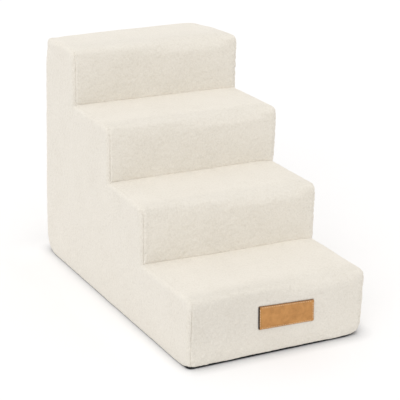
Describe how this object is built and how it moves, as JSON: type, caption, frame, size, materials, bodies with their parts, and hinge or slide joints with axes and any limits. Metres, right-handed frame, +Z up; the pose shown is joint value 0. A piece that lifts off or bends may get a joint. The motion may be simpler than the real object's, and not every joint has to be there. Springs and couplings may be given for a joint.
{
  "type": "pet stairs",
  "caption": "Soft foam pet stairs with rounded padded nosings, a zipped removable plush cover, a non-slip base and a blank leather-look patch on the front riser.",
  "frame": {"origin": "middle of the footprint, on the floor", "axes": "+X to the right across the steps as you face the lowest riser, -Y out of the lowest riser, +Y to the tall back, +Z up"},
  "size_m": [0.4, 0.7074, 0.5],
  "materials": {
    "teddy_plush": "matte",
    "foam": "matte",
    "non_slip_fabric": "matte",
    "zip_tape": "matte",
    "zip_coil": "satin",
    "zip_metal": "satin",
    "patch_leather": "satin",
    "patch_thread": "matte"
  },
  "bodies": {
    "stairs": {"foam_slab_1": "foam", "foam_slab_2": "foam", "foam_slab_3": "foam", "foam_slab_4": "foam", "cover_step_1": "teddy_plush", "cover_step_2": "teddy_plush", "cover_step_3": "teddy_plush", "cover_step_4": "teddy_plush", "cover_left_side": "teddy_plush", "cover_right_side": "teddy_plush", "cover_back_flap": "teddy_plush", "cover_back_frame": "teddy_plush", "cover_base": "non_slip_fabric", "zip_tape_inner": "zip_tape", "zip_tape_outer": "zip_tape", "zip_coil_inner": "zip_coil", "zip_coil_outer": "zip_coil", "zip_top_stops": "zip_metal", "zip_bottom_stop": "zip_metal", "label_patch": "patch_leather", "label_stitching": "patch_thread"},
    "slider": {"zip_slider": "zip_metal"},
    "pull_tab": {"zip_pull_tab": "zip_metal"}
  },
  "joints": [
    {"name": "zip_slide", "type": "slide", "parent": "stairs", "child": "slider", "axis": [0, 0, -1], "range_m": [0, 0.32]},
    {"name": "pull_swing", "type": "hinge", "parent": "slider", "child": "pull_tab", "pos_m": [0.15, 0.3515, 0.421], "axis": [1, 0, 0], "range_deg": [0, 165]}
  ]
}
